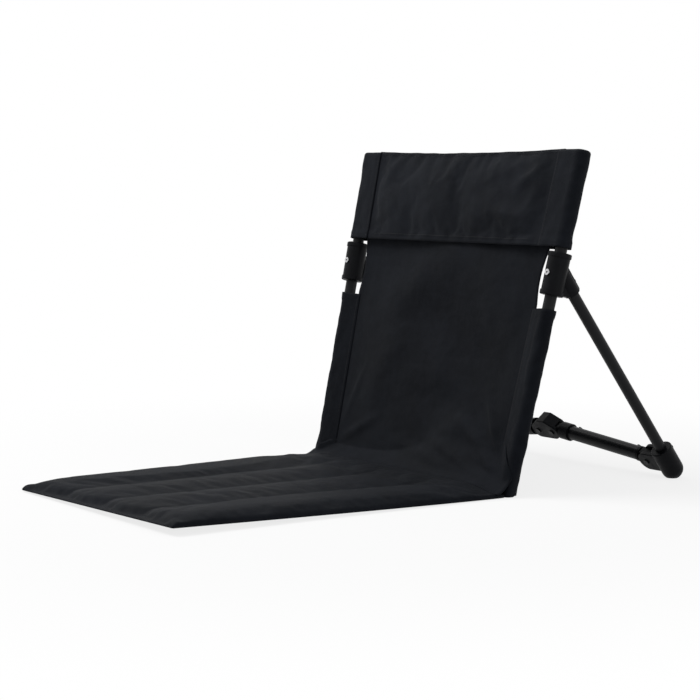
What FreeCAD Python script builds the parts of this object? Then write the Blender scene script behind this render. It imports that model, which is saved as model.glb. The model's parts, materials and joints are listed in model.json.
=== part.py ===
import FreeCAD, Part
import Sketcher
import math
import os

# Legless floor chair: two reclined side frames, a two-piece rear bar that folds in the
# middle, a cloth back stretched between the side frames and a quilted pad on the floor.
# Millimetres. +Z is up, the sitter faces -Y and the sitter's left hand is on +X.
# The origin lies on the floor under the middle of the whole chair.

doc = FreeCAD.newDocument("floor_chair")
sheet = doc.addObject("Spreadsheet::Sheet", "sizes")

SIZES = [
    ("seat_length", 487.0),
    ("seat_rear_width", 430.0),
    ("seat_front_width", 386.0),
    ("seat_rear_gap", 20.0),
    ("pad_hem", 8.0),
    ("pad_crown", 15.0),
    ("pad_end", 26.0),
    ("cloth", 1.2),
    ("back_height", 452.0),
    ("recline", 13.4),
    ("upright_half_low", 206.5),
    ("upright_half_high", 226.0),
    ("upright_radius", 8.0),
    ("tube_wall", 1.2),
    ("cap_head", 5.0),
    ("foot_head", 13.0),
    ("plug_stem", 16.0),
    ("plug_gap", 0.2),
    ("sleeve_radius", 9.7),
    ("sleeve_width", 32.0),
    ("notch_low", 244.0),
    ("notch_high", 325.0),
    ("panel_tuck", 24.0),
    ("panel_bow", 6.0),
    ("cloth_floor_gap", 4.0),
    ("pocket_radius", 11.2),
    ("pocket_waist", 5.0),
    ("pocket_back_waist", 2.5),
    ("pocket_over", 1.5),
    ("bracket_low", 263.0),
    ("bracket_high", 319.0),
    ("bracket_radius", 14.5),
    ("bracket_ring_radius", 15.5),
    ("bracket_ring", 6.0),
    ("bracket_bore", 8.3),
    ("bracket_web", 12.0),
    ("socket_radius", 10.8),
    ("socket_length", 43.0),
    ("socket_depth", 26.0),
    ("strut_meet", 300.0),
    ("strut_radius", 7.5),
    ("strut_bore", 7.8),
    ("bar_behind", 272.0),
    ("bar_above", 26.0),
    ("bar_radius", 9.75),
    ("bar_rise", 9.0),
    ("foot_pivot_inset", 30.0),
    ("centre_pin_half", 14.0),
    ("boot_radius", 15.0),
    ("boot_rim", 20.0),
    ("boot_ball_height", 13.0),
    ("fork_half", 11.0),
    ("fork_slot_half", 5.3),
    ("fork_radius", 14.5),
    ("tongue_half", 5.0),
    ("tongue_radius", 8.8),
    ("collar_radius", 12.3),
    ("collar_start", 14.5),
    ("collar_length", 16.0),
    ("shoulder_start", 16.0),
    ("shoulder_length", 4.0),
    ("pin_radius", 2.5),
    ("pin_clearance", 0.05),
    ("pin_head_radius", 4.2),
    ("pin_head", 1.6),
    ("pin_gap", 0.1),
    ("link_half", 10.4),
    ("link_radius", 12.8),
    ("link_roof", 9.6),
    ("link_peak", 20.0),
    ("link_eave", 8.0),
    ("edge_round", 1.6),
    ("rivet_radius", 2.2),
    ("rivet_head_radius", 4.0),
    ("rivet_head", 1.3),
    ("rivet_hollow", 1.3),
    ("rivet_length", 9.0),
]

for row, (alias, value) in enumerate(SIZES, start=1):
    sheet.set("A%d" % row, alias)
    sheet.set("B%d" % row, str(value))
    sheet.setAlias("B%d" % row, alias)
doc.recompute()


def size(alias):
    return float(sheet.get(alias))


# Lines that several pieces share; PAST is how far a cutting tool runs past the piece it cuts
SIDES = (("left", 1.0), ("right", -1.0))
RECLINE = math.radians(size("recline"))
UP = FreeCAD.Vector(0, 0, 1)
ACROSS = FreeCAD.Vector(1, 0, 0)
SPLAY = math.atan2(size("upright_half_high") - size("upright_half_low"), size("back_height"))
STRUT_RUN = size("bar_behind") - size("strut_meet") * math.sin(RECLINE)
STRUT_RISE = size("strut_meet") * math.cos(RECLINE) - size("bar_above")
STRUT_TILT = math.atan2(STRUT_RUN, STRUT_RISE)
STRUT_TOP = math.hypot(STRUT_RUN, STRUT_RISE)
STRUT_HALF = size("upright_half_low") + size("strut_meet") * math.tan(SPLAY)
PIVOT_HALF = STRUT_HALF - size("foot_pivot_inset")
BALL_BELOW = (size("bar_above") - size("boot_ball_height")) / math.cos(STRUT_TILT)
BOOT_HEEL = BALL_BELOW * math.sin(STRUT_TILT) + size("boot_radius")
JUNCTION = (size("seat_length") - size("bar_behind") - BOOT_HEEL) / 2.0
BAR_RISE = math.radians(size("bar_rise"))
BAR_LENGTH = (PIVOT_HALF - size("centre_pin_half")) / math.cos(BAR_RISE)
PAST = 40.0

back_frame = FreeCAD.Placement(
    FreeCAD.Vector(0, JUNCTION, 0),
    FreeCAD.Rotation(ACROSS, -size("recline")),
)
stand_frame = FreeCAD.Placement(
    FreeCAD.Vector(0, JUNCTION + size("bar_behind"), size("bar_above")),
    FreeCAD.Rotation(ACROSS, math.degrees(STRUT_TILT)),
)

link_frame = stand_frame.multiply(FreeCAD.Placement(
    FreeCAD.Vector(0, 0, BAR_LENGTH * math.sin(BAR_RISE)),
    FreeCAD.Rotation(),
))


def bar_frame(side):
    """Frame of a half bar: on the pivot in its boot, with X along the bar, which rises inward."""
    turn = FreeCAD.Rotation(FreeCAD.Vector(0, 1, 0), side * size("bar_rise"))
    pivot = FreeCAD.Vector(side * PIVOT_HALF, 0, 0)
    return stand_frame.multiply(FreeCAD.Placement(pivot, turn))


def upright_frame(side):
    turn = FreeCAD.Rotation(FreeCAD.Vector(0, 1, 0), side * math.degrees(SPLAY))
    foot = FreeCAD.Vector(side * size("upright_half_low"), 0, 0)
    return back_frame.multiply(FreeCAD.Placement(foot, turn))


def upright_half(height):
    return size("upright_half_low") + height * math.tan(SPLAY)


def at(frame, offset, axis=UP):
    turn = FreeCAD.Rotation(UP, FreeCAD.Vector(axis))
    return frame.multiply(FreeCAD.Placement(FreeCAD.Vector(offset), turn))


def cylinder(name, radius, length, placement):
    solid = doc.addObject("Part::Cylinder", name)
    solid.setExpression("Radius", radius)
    solid.setExpression("Height", length)
    solid.Placement = placement
    return solid


def block(name, length, width, height, placement):
    solid = doc.addObject("Part::Box", name)
    solid.setExpression("Length", length)
    solid.setExpression("Width", width)
    solid.setExpression("Height", height)
    solid.Placement = placement
    return solid


def joined(name, pieces):
    solid = doc.addObject("Part::MultiFuse", name)
    solid.Shapes = pieces
    solid.Refine = True
    return solid


def without(name, base, tools):
    if len(tools) > 1:
        tool = joined(name + "_tools", tools)
    else:
        tool = tools[0]
    solid = doc.addObject("Part::Cut", name)
    solid.Base = base
    solid.Tool = tool
    solid.Refine = True
    return solid


def rounded(name, base, frame, chosen):
    """Base with a round on each edge whose middle, seen in frame, is chosen."""
    doc.recompute()
    solid = doc.addObject("Part::Fillet", name)
    solid.Base = base
    to_frame = frame.inverse()
    radius = size("edge_round")
    edges = []
    for index, edge in enumerate(base.Shape.Edges, start=1):
        middle = edge.valueAt((edge.FirstParameter + edge.LastParameter) / 2.0)
        if chosen(to_frame.multVec(middle)):
            edges.append((index, radius, radius))
    solid.Edges = edges
    return solid


def floor_block(name):
    place = FreeCAD.Placement(FreeCAD.Vector(-400, -600, -60), FreeCAD.Rotation())
    return block(name, "800", "1200", "60", place)


def plane_of(body, role):
    for feature in body.Origin.OriginFeatures:
        if feature.Role == role:
            return feature
    return None


def tube(name, radius, length, placement, holes):
    """Round tube along local Z, drilled through its -Y wall at each height in holes."""
    body = doc.addObject("PartDesign::Body", name)
    ring = body.newObject("Sketcher::SketchObject", name + "_ring")
    ring.AttachmentSupport = (plane_of(body, "XY_Plane"), "")
    ring.MapMode = "FlatFace"
    centre = FreeCAD.Vector(0, 0, 0)
    ring.addGeometry(Part.Circle(centre, UP, 8.0), False)
    ring.addGeometry(Part.Circle(centre, UP, 6.5), False)
    ring.addConstraint(Sketcher.Constraint("Coincident", 0, 3, -1, 1))
    ring.addConstraint(Sketcher.Constraint("Coincident", 1, 3, -1, 1))
    outer = ring.addConstraint(Sketcher.Constraint("Radius", 0, 8.0))
    inner = ring.addConstraint(Sketcher.Constraint("Radius", 1, 6.5))
    ring.setExpression("Constraints[%d]" % outer, radius)
    ring.setExpression("Constraints[%d]" % inner, radius + " - sizes.tube_wall")
    pad = body.newObject("PartDesign::Pad", name + "_pad")
    pad.Profile = ring
    pad.setExpression("Length", length)
    body.Tip = pad
    doc.recompute()
    drill = body.newObject("Sketcher::SketchObject", name + "_drill")
    drill.AttachmentSupport = (plane_of(body, "XZ_Plane"), "")
    drill.MapMode = "FlatFace"
    for index, height in enumerate(holes):
        drill.addGeometry(Part.Circle(FreeCAD.Vector(0, height, 0), UP, 2.3), False)
        drill.addConstraint(Sketcher.Constraint("PointOnObject", index, 3, -2))
        drill.addConstraint(Sketcher.Constraint("DistanceY", -1, 1, index, 3, height))
        bore = drill.addConstraint(Sketcher.Constraint("Radius", index, 2.3))
        drill.setExpression("Constraints[%d]" % bore, "sizes.rivet_radius + 0.1")
    pocket = body.newObject("PartDesign::Pocket", name + "_holes")
    pocket.Profile = drill
    pocket.setExpression("Length", radius + " + 2")
    pocket.Reversed = True
    body.Tip = pocket
    body.Placement = placement
    return body


def rivet(name, placement):
    """Hollow blind rivet whose head rests on local Z = 0, with its shank below."""
    below = (0, 0, -size("rivet_length"))
    head = cylinder(name + "_head", "sizes.rivet_head_radius", "sizes.rivet_head", placement)
    shank = cylinder(name + "_shank", "sizes.rivet_radius", "sizes.rivet_length", at(placement, below))
    hollow = cylinder(name + "_hollow", "sizes.rivet_hollow", "sizes.rivet_length + 4",
                      at(placement, (0, 0, -5)))
    return without(name, joined(name + "_solid", [head, shank]), [hollow])


def rivet_hole(name, placement):
    """Clearance hole for a blind rivet, longer than the rivet at both ends."""
    below = (0, 0, -size("rivet_length") - 1)
    return cylinder(name, "sizes.rivet_radius + 0.1", "sizes.rivet_length + 8", at(placement, below))


def pivot_pin(name, frame, x, half):
    """Headed pin across a fork, along the normal of the stand's plane."""
    reach = size(half) + size("pin_gap")
    along = (0, 1, 0)
    length = "2 * (sizes.%s + sizes.pin_gap + sizes.pin_head)" % half
    shank = cylinder(name + "_shank", "sizes.pin_radius", length,
                     at(frame, (x, -reach - size("pin_head"), 0), along))
    front = cylinder(name + "_front", "sizes.pin_head_radius", "sizes.pin_head",
                     at(frame, (x, -reach - size("pin_head"), 0), along))
    rear = cylinder(name + "_rear", "sizes.pin_head_radius", "sizes.pin_head",
                    at(frame, (x, reach, 0), along))
    return joined(name, [shank, front, rear])


def pin_hole(name, frame, x):
    return cylinder(name, "sizes.pin_radius + sizes.pin_clearance", str(2 * PAST),
                    at(frame, (x, -PAST, 0), (0, 1, 0)))


def frame_box(name, frame, low, high):
    """Box between two corners given in a frame."""
    length, width, height = [str(high[axis] - low[axis]) for axis in range(3)]
    return block(name, length, width, height, at(frame, low))


nodes = []


def keep(solid, label):
    solid.Label = label
    nodes.append(solid)
    return solid


# Side frames: reclined uprights, each with a brace bracket, a strut and a rear boot
RIVET_HEIGHT = (size("bracket_low") + size("bracket_high")) / 2.0
STRUT_LOW = -8.0
STRUT_HIGH = STRUT_TOP - size("socket_length") + size("socket_depth")
BOOT_RIVET = 10.0
SOCKET_RIVET = STRUT_TOP - size("socket_length") + 12.0


def on_boot_rim(middle):
    """Rim of the cup, and the outer edges of the fork."""
    on_rim = abs(middle.z - size("boot_rim")) < 0.01
    on_fork = abs(abs(middle.y) - size("fork_half")) < 0.01
    return on_rim or (on_fork and abs(middle.x) < STRUT_HALF - size("boot_radius") + 4)


def on_sleeve_end(middle):
    """Outer edges of the two ends of a bracket's sleeve."""
    at_low = abs(middle.z - size("bracket_low")) < 0.3
    at_high = abs(middle.z - size("bracket_high")) < 0.3
    return at_low or at_high


for side_name, side in SIDES:
    upright = upright_frame(side)
    tube_low = size("foot_head")
    tube_length = "sizes.back_height - sizes.foot_head - sizes.cap_head"
    body = tube(side_name + "_upright_tube_body", "sizes.upright_radius", tube_length,
                at(upright, (0, 0, tube_low)), [RIVET_HEIGHT - tube_low])
    keep(body, side_name + "_upright_tube")

    # Plastic cap in the top of the upright, with a stem inside the tube
    name = side_name + "_upright_cap_solid"
    stem_radius = "sizes.upright_radius - sizes.tube_wall - sizes.plug_gap"
    top = size("back_height") - size("cap_head")
    head = cylinder(name + "_head", "sizes.upright_radius", "sizes.cap_head", at(upright, (0, 0, top)))
    stem = cylinder(name + "_stem", stem_radius, "sizes.plug_stem + 1",
                    at(upright, (0, 0, top - size("plug_stem"))))
    keep(joined(name, [head, stem]), side_name + "_upright_cap")

    # Foot plug in the bottom of the upright, cut level with the floor
    name = side_name + "_upright_foot_solid"
    head = cylinder(name + "_head", "sizes.upright_radius", "sizes.foot_head + 10",
                    at(upright, (0, 0, -10)))
    stem = cylinder(name + "_stem", stem_radius, "sizes.plug_stem + 1",
                    at(upright, (0, 0, tube_low - 1)))
    whole = joined(name + "_whole", [head, stem])
    keep(without(name, whole, [floor_block(name + "_floor")]), side_name + "_upright_foot")

    # Brace bracket: a sleeve round the upright with a raised ring at each end, a socket for
    # the strut and a web between them
    name = side_name + "_bracket_solid"
    sleeve = cylinder(name + "_sleeve", "sizes.bracket_radius",
                      "sizes.bracket_high - sizes.bracket_low", at(upright, (0, 0, size("bracket_low"))))
    rings = []
    for end, low in (("low", size("bracket_low")), ("high", size("bracket_high") - size("bracket_ring"))):
        rings.append(cylinder(name + "_ring_" + end, "sizes.bracket_ring_radius", "sizes.bracket_ring",
                              at(upright, (0, 0, low))))
    socket_low = STRUT_TOP - size("socket_length")
    socket = cylinder(name + "_socket", "sizes.socket_radius", "sizes.socket_length",
                      at(stand_frame, (side * STRUT_HALF, 0, socket_low)))
    spread = RECLINE + STRUT_TILT
    end_y = size("socket_length") * math.sin(spread)
    end_z = size("strut_meet") - size("socket_length") * math.cos(spread)
    lip = size("socket_radius") - 1.0
    web = doc.addObject("Part::Polygon", name + "_web_outline")
    web.Nodes = [
        FreeCAD.Vector(0, 0, size("bracket_low") + 2),
        FreeCAD.Vector(0, end_y - lip * math.cos(spread), end_z - lip * math.sin(spread)),
        FreeCAD.Vector(0, end_y + lip * math.cos(spread), end_z + lip * math.sin(spread)),
        FreeCAD.Vector(0, 5, size("bracket_high") - 9),
        FreeCAD.Vector(0, 0, size("bracket_high") - 9),
    ]
    web.Close = True
    web.Placement = at(back_frame, (side * STRUT_HALF - size("bracket_web") / 2.0, 0, 0))
    plate = doc.addObject("Part::Extrusion", name + "_web")
    plate.Base = web
    plate.DirMode = "Custom"
    plate.Dir = ACROSS
    plate.setExpression("LengthFwd", "sizes.bracket_web")
    plate.Solid = True
    upright_bore = cylinder(name + "_upright_bore", "sizes.bracket_bore", "sizes.back_height", upright)
    strut_bore = cylinder(name + "_strut_bore", "sizes.strut_bore", "sizes.socket_depth + 10.3",
                          at(stand_frame, (side * STRUT_HALF, 0, socket_low - 10)))
    rivet_seat = at(upright, (0, -size("bracket_radius"), RIVET_HEIGHT), (0, -1, 0))
    socket_seat = at(stand_frame, (side * STRUT_HALF, size("socket_radius"), SOCKET_RIVET), (0, 1, 0))
    whole = joined(name + "_whole", [sleeve, socket, plate] + rings)
    keep(without(name, rounded(name + "_rounded", whole, upright, on_sleeve_end), [
        upright_bore,
        strut_bore,
        rivet_hole(name + "_rivet_hole", rivet_seat),
        rivet_hole(name + "_socket_hole", socket_seat),
    ]), side_name + "_bracket")
    keep(rivet(side_name + "_bracket_rivet_solid", rivet_seat), side_name + "_bracket_rivet")

    # Strut from the bracket socket down to the rear boot
    about = FreeCAD.Placement(FreeCAD.Vector(0, 0, 0), FreeCAD.Rotation(UP, 180))
    strut_place = at(stand_frame, (side * STRUT_HALF, 0, STRUT_LOW)).multiply(about)
    body = tube(side_name + "_strut_body", "sizes.strut_radius", str(STRUT_HIGH - STRUT_LOW),
                strut_place, [BOOT_RIVET - STRUT_LOW, SOCKET_RIVET - STRUT_LOW])
    keep(body, side_name + "_strut")

    # Rear boot: a cup for the strut with a ball end that stands on the floor, and a fork
    # for the folding bar
    name = side_name + "_boot_solid"
    x = side * STRUT_HALF
    pivot_x = side * PIVOT_HALF
    cup = cylinder(name + "_cup", "sizes.boot_radius", "sizes.boot_rim + %f" % BALL_BELOW,
                   at(stand_frame, (x, 0, -BALL_BELOW)))
    ball = doc.addObject("Part::Sphere", name + "_ball")
    ball.setExpression("Radius", "sizes.boot_radius")
    ball.Placement = at(stand_frame, (x, 0, -BALL_BELOW))
    half = size("fork_half")
    cheek = cylinder(name + "_cheek", "sizes.fork_radius", "2 * sizes.fork_half",
                     at(stand_frame, (pivot_x, -half, 0), (0, 1, 0)))
    low_x = min(x, pivot_x)
    high_x = max(x, pivot_x)
    arm = frame_box(name + "_arm", stand_frame, (low_x, -half, -size("fork_radius")),
                    (high_x, half, size("fork_radius")))
    slot = size("fork_slot_half")
    slot_ends = sorted([pivot_x - side * PAST, pivot_x + side * (size("tongue_radius") + 1.2)])
    gap = frame_box(name + "_gap", stand_frame, (slot_ends[0], -slot, -PAST), (slot_ends[1], slot, PAST))
    bore = cylinder(name + "_bore", "sizes.strut_bore", str(2 * PAST),
                    at(stand_frame, (x, 0, STRUT_LOW - 0.3)))
    boot_seat = at(stand_frame, (x, size("boot_radius"), BOOT_RIVET), (0, 1, 0))
    whole = joined(name + "_whole", [cup, ball, cheek, arm])
    keep(without(name, rounded(name + "_rounded", whole, stand_frame, on_boot_rim), [
        gap,
        bore,
        pin_hole(name + "_pin_hole", stand_frame, pivot_x),
        rivet_hole(name + "_rivet_hole", boot_seat),
        floor_block(name + "_floor"),
    ]), side_name + "_boot")
    pin = pivot_pin(side_name + "_boot_pin_solid", stand_frame, pivot_x, "fork_half")
    keep(pin, side_name + "_boot_pin")
    pair = [
        rivet(side_name + "_socket_rivet", socket_seat),
        rivet(side_name + "_boot_rivet", boot_seat),
    ]
    rivets = doc.addObject("Part::Compound", side_name + "_strut_rivets_pair")
    rivets.Links = pair
    keep(rivets, side_name + "_strut_rivets")

# Rear bar in two halves: a tube with a knuckle in the boot and a fitting at the middle link
for side_name, side in SIDES:
    inward = -side
    bar = bar_frame(side)
    centre_x = inward * BAR_LENGTH
    shoulder = size("shoulder_start") + size("shoulder_length")
    collar = size("collar_start") + size("collar_length")
    tube_start = inward * shoulder
    tube_length = BAR_LENGTH - shoulder - collar
    stem_radius = "sizes.bar_radius - sizes.tube_wall - sizes.plug_gap"
    rivet_inset = 9.0
    seats = []
    for x in (tube_start + inward * rivet_inset, tube_start + inward * (tube_length - rivet_inset)):
        seats.append(at(bar, (x, size("bar_radius"), 0), (0, 1, 0)))

    bar_turn = FreeCAD.Rotation(FreeCAD.Vector(0, 0, inward), FreeCAD.Vector(0, -1, 0),
                                FreeCAD.Vector(inward, 0, 0), "ZYX")
    bar_start = FreeCAD.Placement(FreeCAD.Vector(tube_start, 0, 0), bar_turn)
    body = tube(side_name + "_bar_tube_body", "sizes.bar_radius", str(tube_length),
                bar.multiply(bar_start), [rivet_inset, tube_length - rivet_inset])
    keep(body, side_name + "_bar_tube")

    fittings = (
        ("knuckle", 0.0, inward, "shoulder", "sizes.bar_radius + 0.8", seats[0], shoulder),
        ("fitting", centre_x, side, "collar", "sizes.collar_radius", seats[1], collar),
    )
    for piece, x, away, band, band_radius, seat, band_end in fittings:
        name = "%s_bar_%s_solid" % (side_name, piece)
        half = size("tongue_half")
        radius = size("tongue_radius")
        band_start = size(band + "_start")
        along = (away, 0, 0)
        disc = cylinder(name + "_disc", "sizes.tongue_radius", "2 * sizes.tongue_half",
                        at(bar, (x, -half, 0), (0, 1, 0)))
        ends = sorted([x, x + away * (band_start + 0.5)])
        tongue = frame_box(name + "_tongue", bar, (ends[0], -half, -radius), (ends[1], half, radius))
        ring = cylinder(name + "_ring", band_radius, "sizes.%s_length" % band,
                        at(bar, (x + away * band_start, 0, 0), along))
        stem = cylinder(name + "_stem", stem_radius, "sizes.plug_stem + 1",
                        at(bar, (x + away * (band_end - 1), 0, 0), along))
        whole = joined(name + "_whole", [disc, tongue, ring, stem])
        keep(without(name, whole, [
            pin_hole(name + "_pin_hole", bar, x),
            rivet_hole(name + "_rivet_hole", seat),
        ]), "%s_bar_%s" % (side_name, piece))
    pair = [
        rivet(side_name + "_outer_rivet", seats[0]),
        rivet(side_name + "_inner_rivet", seats[1]),
    ]
    rivets = doc.addObject("Part::Compound", side_name + "_bar_rivets_pair")
    rivets.Links = pair
    keep(rivets, side_name + "_bar_rivets")

# Middle link: two pivots under one peaked roof; the cloth stops the half bars short of in line
name = "centre_link_solid"
half = size("link_half")
slot = size("fork_slot_half")
post = size("centre_pin_half") - size("tongue_radius") - 1.7
pieces = []
tools = []
reach = size("centre_pin_half")
radius = size("link_radius")
pieces.append(frame_box(name + "_middle", link_frame, (-reach, -half, -radius), (reach, half, radius)))
gable = doc.addObject("Part::Polygon", name + "_gable")
eave = reach + radius - 2.0
gable.Nodes = [
    FreeCAD.Vector(-eave, 0, 0),
    FreeCAD.Vector(eave, 0, 0),
    FreeCAD.Vector(eave, 0, size("link_eave")),
    FreeCAD.Vector(reach / 2.0, 0, size("link_peak")),
    FreeCAD.Vector(-reach / 2.0, 0, size("link_peak")),
    FreeCAD.Vector(-eave, 0, size("link_eave")),
]
gable.Close = True
gable.Placement = at(link_frame, (0, -half, 0))
roof = doc.addObject("Part::Extrusion", name + "_roof")
roof.Base = gable
roof.DirMode = "Custom"
roof.Dir = link_frame.Rotation.multVec(FreeCAD.Vector(0, 1, 0))
roof.setExpression("LengthFwd", "2 * sizes.link_half")
roof.Solid = True
pieces.append(roof)
for side_name, side in SIDES:
    x = side * reach
    pieces.append(cylinder(name + "_%s_end" % side_name, "sizes.link_radius", "2 * sizes.link_half",
                           at(link_frame, (x, -half, 0), (0, 1, 0))))
    ends = sorted([side * post, side * PAST])
    tools.append(frame_box(name + "_%s_slot" % side_name, link_frame, (ends[0], -slot, -PAST),
                           (ends[1], slot, size("link_roof"))))
    tools.append(pin_hole(name + "_%s_hole" % side_name, link_frame, x))


def on_link_face(middle):
    """Edges of the link's front and rear faces."""
    return abs(abs(middle.y) - half) < 0.01


whole = rounded(name + "_rounded", joined(name + "_whole", pieces), link_frame, on_link_face)
keep(without(name, whole, tools), "centre_link")
pins = []
for side_name, side in SIDES:
    pins.append(pivot_pin(side_name + "_centre_pin_solid", link_frame, side * reach, "link_half"))
pair = doc.addObject("Part::Compound", "centre_pins_pair")
pair.Links = pins
keep(pair, "centre_pins")


def outline(start, steps):
    """Closed wire from start; a step is the next corner, or the middle and end of an arc."""
    edges = []
    first = FreeCAD.Vector(start)
    last = first
    for step in steps:
        if isinstance(step[0], tuple):
            middle, end = [FreeCAD.Vector(point) for point in step]
            edges.append(Part.Arc(last, middle, end).toShape())
        else:
            end = FreeCAD.Vector(step)
            edges.append(Part.LineSegment(last, end).toShape())
        last = end
    if last.distanceToPoint(first) > 1e-6:
        edges.append(Part.LineSegment(last, first).toShape())
    return Part.Wire(edges)


def loft(sections):
    return Part.makeLoft(sections, True, True)


def soft(label, shape, placement):
    """Document object for a sewn piece whose form is a set of lofts."""
    solid = doc.addObject("Part::Feature", label + "_solid")
    solid.Shape = shape.removeSplitter()
    solid.Placement = placement
    return keep(solid, label)


# Back cloth: a bowed sheet with a sewn sleeve down each edge, notched round the brackets
def sleeve_section(side, height, radius, width, lip):
    """Drop-shaped section of a sleeve: from its seam, lip wide, along tangents round the upright."""
    x = upright_half(height)
    lean = math.asin(radius / width)
    start = -math.pi / 2 - lean
    turn = math.pi + 2 * lean
    points = []
    for share in (0.0, 0.25, 0.5, 0.75, 1.0):
        angle = start + share * turn
        points.append((side * (x + radius * math.cos(angle)), radius * math.sin(angle), height))
    seam = side * (x - width)
    return outline((seam, -lip, height), [
        points[0],
        (points[1], points[2]),
        (points[3], points[4]),
        (seam, lip, height),
    ])


def sheet_section(height, half):
    """Section of the sheet between the sleeves, which bows back between them."""
    front = -size("cloth") / 2.0
    back = size("cloth") / 2.0
    bow = size("panel_bow")
    return outline((-half, front, height), [
        ((0, front + bow, height), (half, front, height)),
        (half, back, height),
        ((0, back + bow, height), (-half, back, height)),
    ])


def sleeve(side, heights, radius, width, lip):
    return loft([sleeve_section(side, height, radius, width, lip) for height in heights])


bottom = size("cloth_floor_gap")
top = size("notch_high") + size("panel_tuck")
inset = size("sleeve_width") - 4.0
panel = loft([sheet_section(height, upright_half(height) - inset) for height in (bottom, top)])
for side_name, side in SIDES:
    panel = panel.fuse(sleeve(side, (bottom, size("notch_low")), size("sleeve_radius"),
                              size("sleeve_width"), size("cloth") / 2.0))
for side_name, side in SIDES:
    panel = panel.cut(sleeve(side, (bottom - 5, size("notch_low") + 5),
                             size("sleeve_radius") - size("cloth"), size("sleeve_width") - 5, 0.02))
soft("back_panel", panel, back_frame)


# Headrest pocket: a flat bag drawn down over both uprights, closed at the top
SLANT = math.sqrt(0.5)


def pocket_section(height, radius, front_waist, back_waist):
    x = upright_half(height)
    slant = radius * SLANT
    return outline((-x, -radius, height), [
        ((0, -radius + front_waist, height), (x, -radius, height)),
        ((x + slant, -slant, height), (x + radius, 0, height)),
        ((x + slant, slant, height), (x, radius, height)),
        ((0, radius - back_waist, height), (-x, radius, height)),
        ((-x - slant, slant, height), (-x - radius, 0, height)),
        ((-x - slant, -slant, height), (-x, -radius, height)),
    ])


def pocket_loft(low, high, radius):
    waists = (size("pocket_waist"), size("pocket_back_waist"))
    return loft([pocket_section(low, radius, *waists), pocket_section(high, radius, *waists)])


lid = size("back_height") + size("pocket_over")
outer = pocket_loft(size("notch_high"), lid, size("pocket_radius"))
inner = pocket_loft(size("notch_high") - 5, lid - size("cloth"), size("pocket_radius") - size("cloth"))
soft("headrest_pocket", outer.cut(inner), back_frame)

# Seat pad: two cloths sewn together round four foam channels that run from front to back
CHANNELS = 4
FRONT = JUNCTION - size("seat_length")
REAR = JUNCTION - size("seat_rear_gap")


def seat_half(y):
    share = (JUNCTION - y) / size("seat_length")
    return (size("seat_rear_width") * (1 - share) + size("seat_front_width") * share) / 2.0


def seat_sheet(low, high):
    face = Part.Face(outline((-seat_half(FRONT), FRONT, low), [
        (seat_half(FRONT), FRONT, low),
        (seat_half(REAR), REAR, low),
        (-seat_half(REAR), REAR, low),
    ]))
    return face.extrude(FreeCAD.Vector(0, 0, high - low))


def channel_section(index, y, crown, draw):
    half = seat_half(y) - size("pad_hem")
    pitch = 2 * half / CHANNELS
    low = -half + index * pitch + draw
    high = -half + (index + 1) * pitch - draw
    base = size("cloth")
    middle = ((low + high) / 2.0, y, base + crown)
    return outline((low, y, base), [(high, y, base), (middle, (low, y, base))])


def channel(index, inset):
    """Foam channel with both ends drawn in; inset shrinks it evenly for the void and the foam."""
    front = FRONT + size("pad_hem") + inset
    rear = REAR - 2 - inset
    crown = size("pad_crown") - inset
    stations = (
        (front, 0.30, 5.0),
        (front + 0.25 * size("pad_end"), 0.66, 2.0),
        (front + size("pad_end"), 1.00, 0.0),
        (rear - size("pad_end"), 1.00, 0.0),
        (rear, 0.60, 1.0),
    )
    sections = []
    for y, share, draw in stations:
        sections.append(channel_section(index, y, share * crown, draw + 1.8 * inset))
    return loft(sections)


soft("seat_bottom_cloth", seat_sheet(0.0, size("cloth")), FreeCAD.Placement())
cover = seat_sheet(size("cloth"), 2 * size("cloth"))
foams = []
for index in range(CHANNELS):
    cover = cover.fuse(channel(index, 0.0))
for index in range(CHANNELS):
    cover = cover.cut(channel(index, size("cloth")))
    foams.append(channel(index, size("cloth") + 0.3))
soft("seat_top_cloth", cover, FreeCAD.Placement())
foam = doc.addObject("Part::Feature", "seat_foam_solid")
foam.Shape = Part.makeCompound(foams)
keep(foam, "seat_foam")

# Every piece must be sound before any file is written
doc.recompute()
for item in doc.Objects:
    if "Invalid" in item.State or "Error" in item.State:
        raise RuntimeError("%s did not build: %s" % (item.Name, item.State))
box = FreeCAD.BoundBox()
for node in nodes:
    if node.Shape.isNull() or not node.Shape.isValid() or not node.Shape.Solids:
        raise RuntimeError("%s has no sound solid" % node.Label)
    box.add(node.Shape.BoundBox)
    print("%-24s solids %d volume %.0f mm3" % (node.Label, len(node.Shape.Solids), node.Shape.Volume))
print("box", box)
print("junction %.2f strut tilt %.3f strut half %.2f pivot half %.2f" % (
    JUNCTION, math.degrees(STRUT_TILT), STRUT_HALF, PIVOT_HALF))

os.makedirs("parts", exist_ok=True)
for node in nodes:
    node.Shape.exportStep("parts/%s.step" % node.Label)
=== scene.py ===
import json
import math

import bmesh
import bpy
from mathutils import Matrix, Vector, noise
from mathutils.bvhtree import BVHTree


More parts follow.
